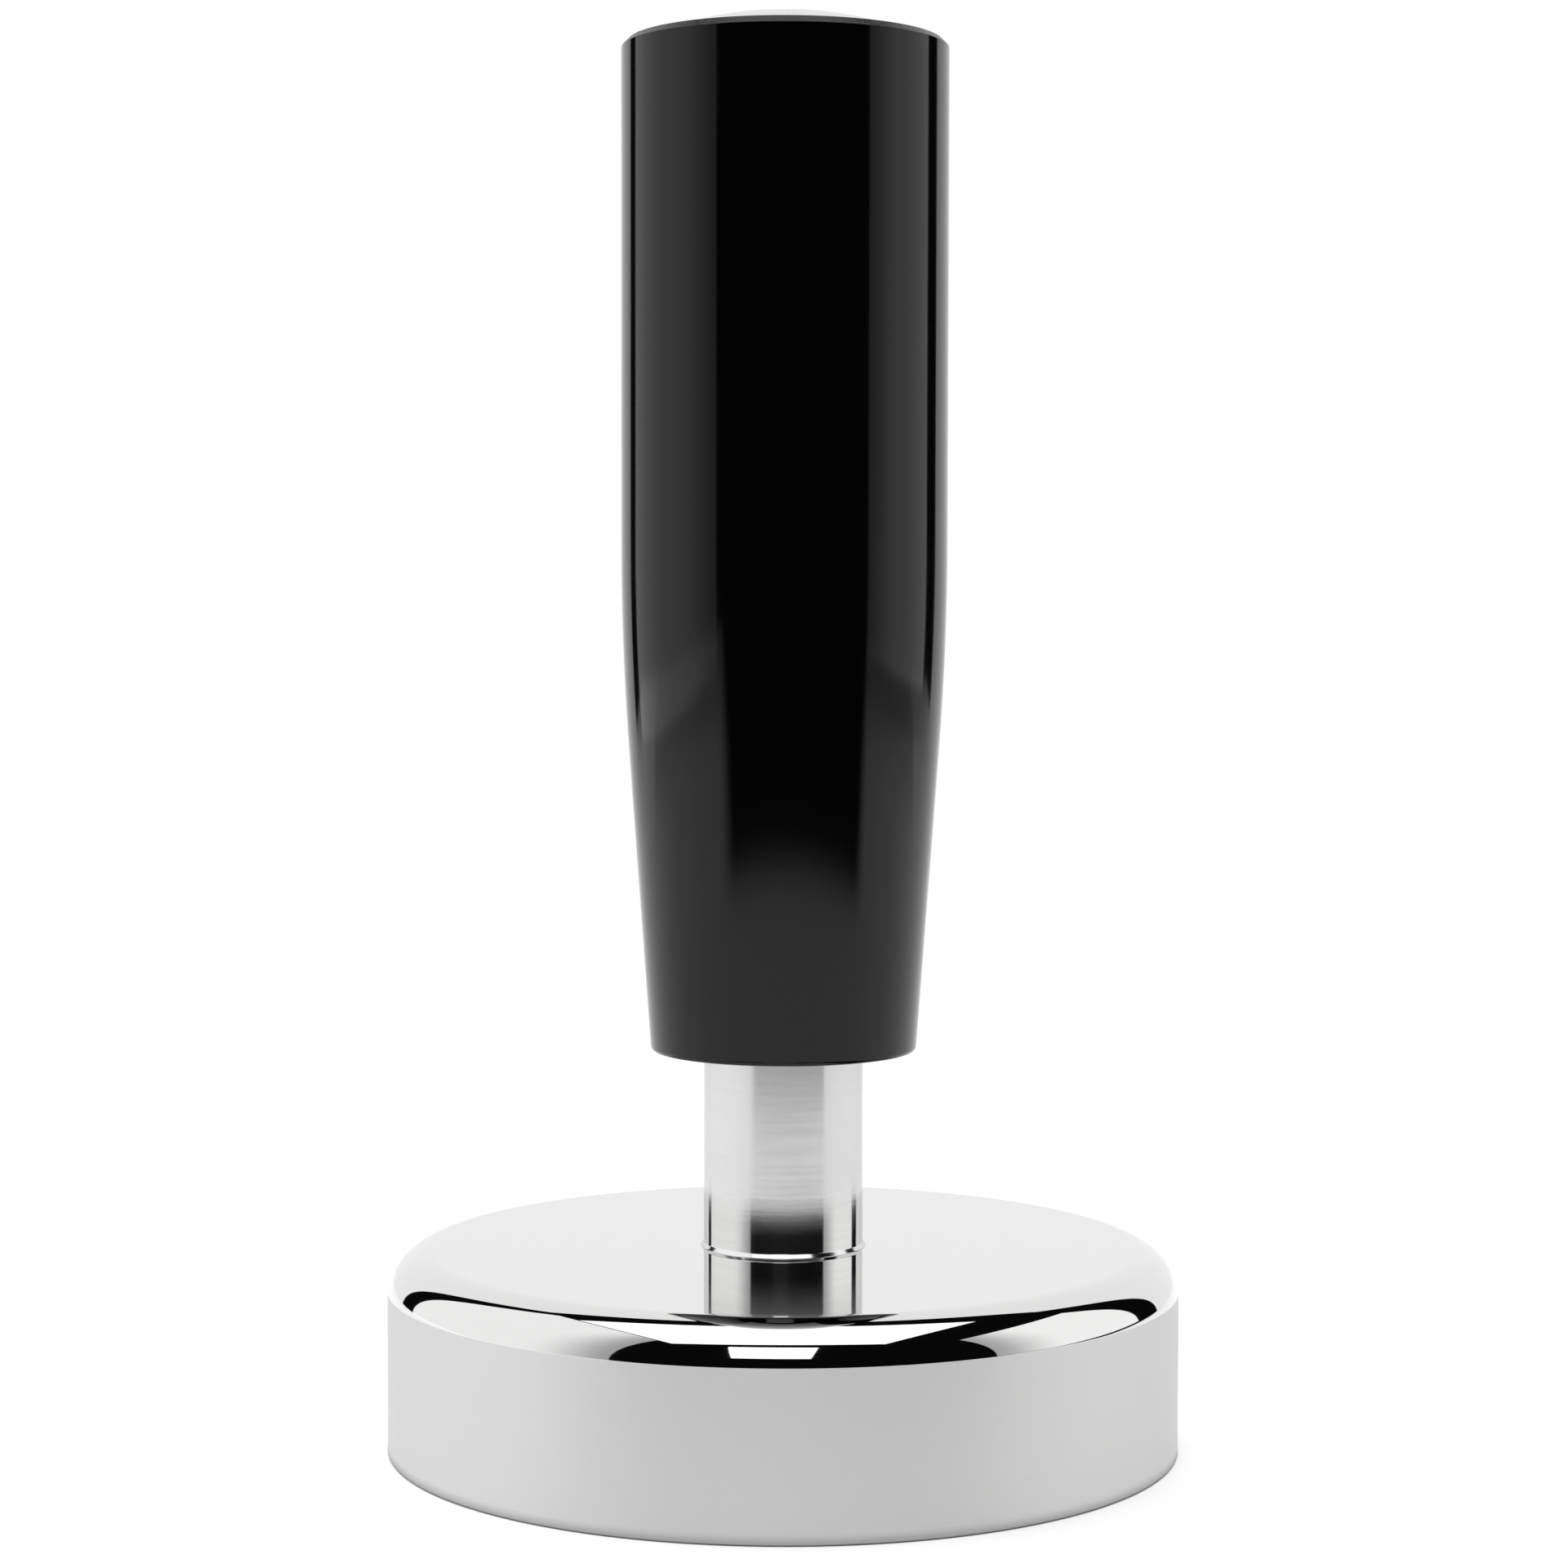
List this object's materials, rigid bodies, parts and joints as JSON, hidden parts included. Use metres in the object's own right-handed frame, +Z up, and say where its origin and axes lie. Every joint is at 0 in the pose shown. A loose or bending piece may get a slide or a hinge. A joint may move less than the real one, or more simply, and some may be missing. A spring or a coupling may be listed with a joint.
{
  "type": "espresso tamper",
  "caption": "Calibrated espresso tamper: flat steel base on a bare steel stem, and a long black handle that sinks over the stem on an inner spring at the set force.",
  "frame": {"origin": "centre of the tamping face, on the surface that the tamper stands on", "axes": "+Z up along the stem and the handle; X and Y are free, as the object is round"},
  "size_m": [0.0584, 0.0584, 0.1053],
  "materials": {
    "base_steel": "mirror-polished top and edge, fine satin turned side and face",
    "stem_steel": "fine turned, bright",
    "cap_steel": "polished dome",
    "handle_black": "gloss black lacquer over turned aluminium",
    "turned_steel": "as turned",
    "screw_steel": "plain machined",
    "spring_steel": "drawn wire",
    "washer_brass": "plain",
    "bush_bronze": "sintered bronze",
    "slip_plastic": "natural low-friction plastic",
    "seal_rubber": "matt",
    "pad_rubber": "matt"
  },
  "bodies": {
    "base": {"tamping_base": "base_steel", "base_stud": "screw_steel", "stem": "stem_steel", "lower_spring_seat": "turned_steel", "stop_pad": "pad_rubber"},
    "spring_stack": {"slip_washer": "slip_plastic", "compression_spring": "spring_steel"},
    "handle": {"handle_body": "handle_black", "guide_bush": "bush_bronze", "wiper_ring": "seal_rubber", "bumper_ring": "pad_rubber", "top_cap": "cap_steel", "cap_seal": "seal_rubber"},
    "spring_guide": {"spring_guide": "turned_steel", "thrust_washer": "washer_brass"},
    "adjuster": {"adjusting_screw": "screw_steel", "lock_ring": "washer_brass"}
  },
  "joints": [
    {"name": "handle_turn", "type": "hinge", "parent": "base", "child": "spring_stack", "pos_m": [0, 0, 0.0499], "axis": [0, 0, 1], "continuous": true},
    {"name": "handle_press", "type": "slide", "parent": "spring_stack", "child": "handle", "axis": [0, 0, -1], "range_m": [0, 0.004], "stiffness_N_per_m": 10500, "springref_m": -0.0143, "deforming": ["compression_spring"]},
    {"name": "adjuster_travel", "type": "slide", "parent": "handle", "child": "spring_guide", "axis": [0, 0, -1], "range_m": [-0.002, 0], "deforming": ["compression_spring"]},
    {"name": "adjuster_turn", "type": "hinge", "parent": "spring_guide", "child": "adjuster", "pos_m": [0, 0, 0.0858], "axis": [0, 0, -1], "range_deg": [-720, 0]}
  ],
  "couplings": [
    {"joint": "adjuster_turn", "follows": "adjuster_travel", "rad_per_m": 6283.2}
  ]
}
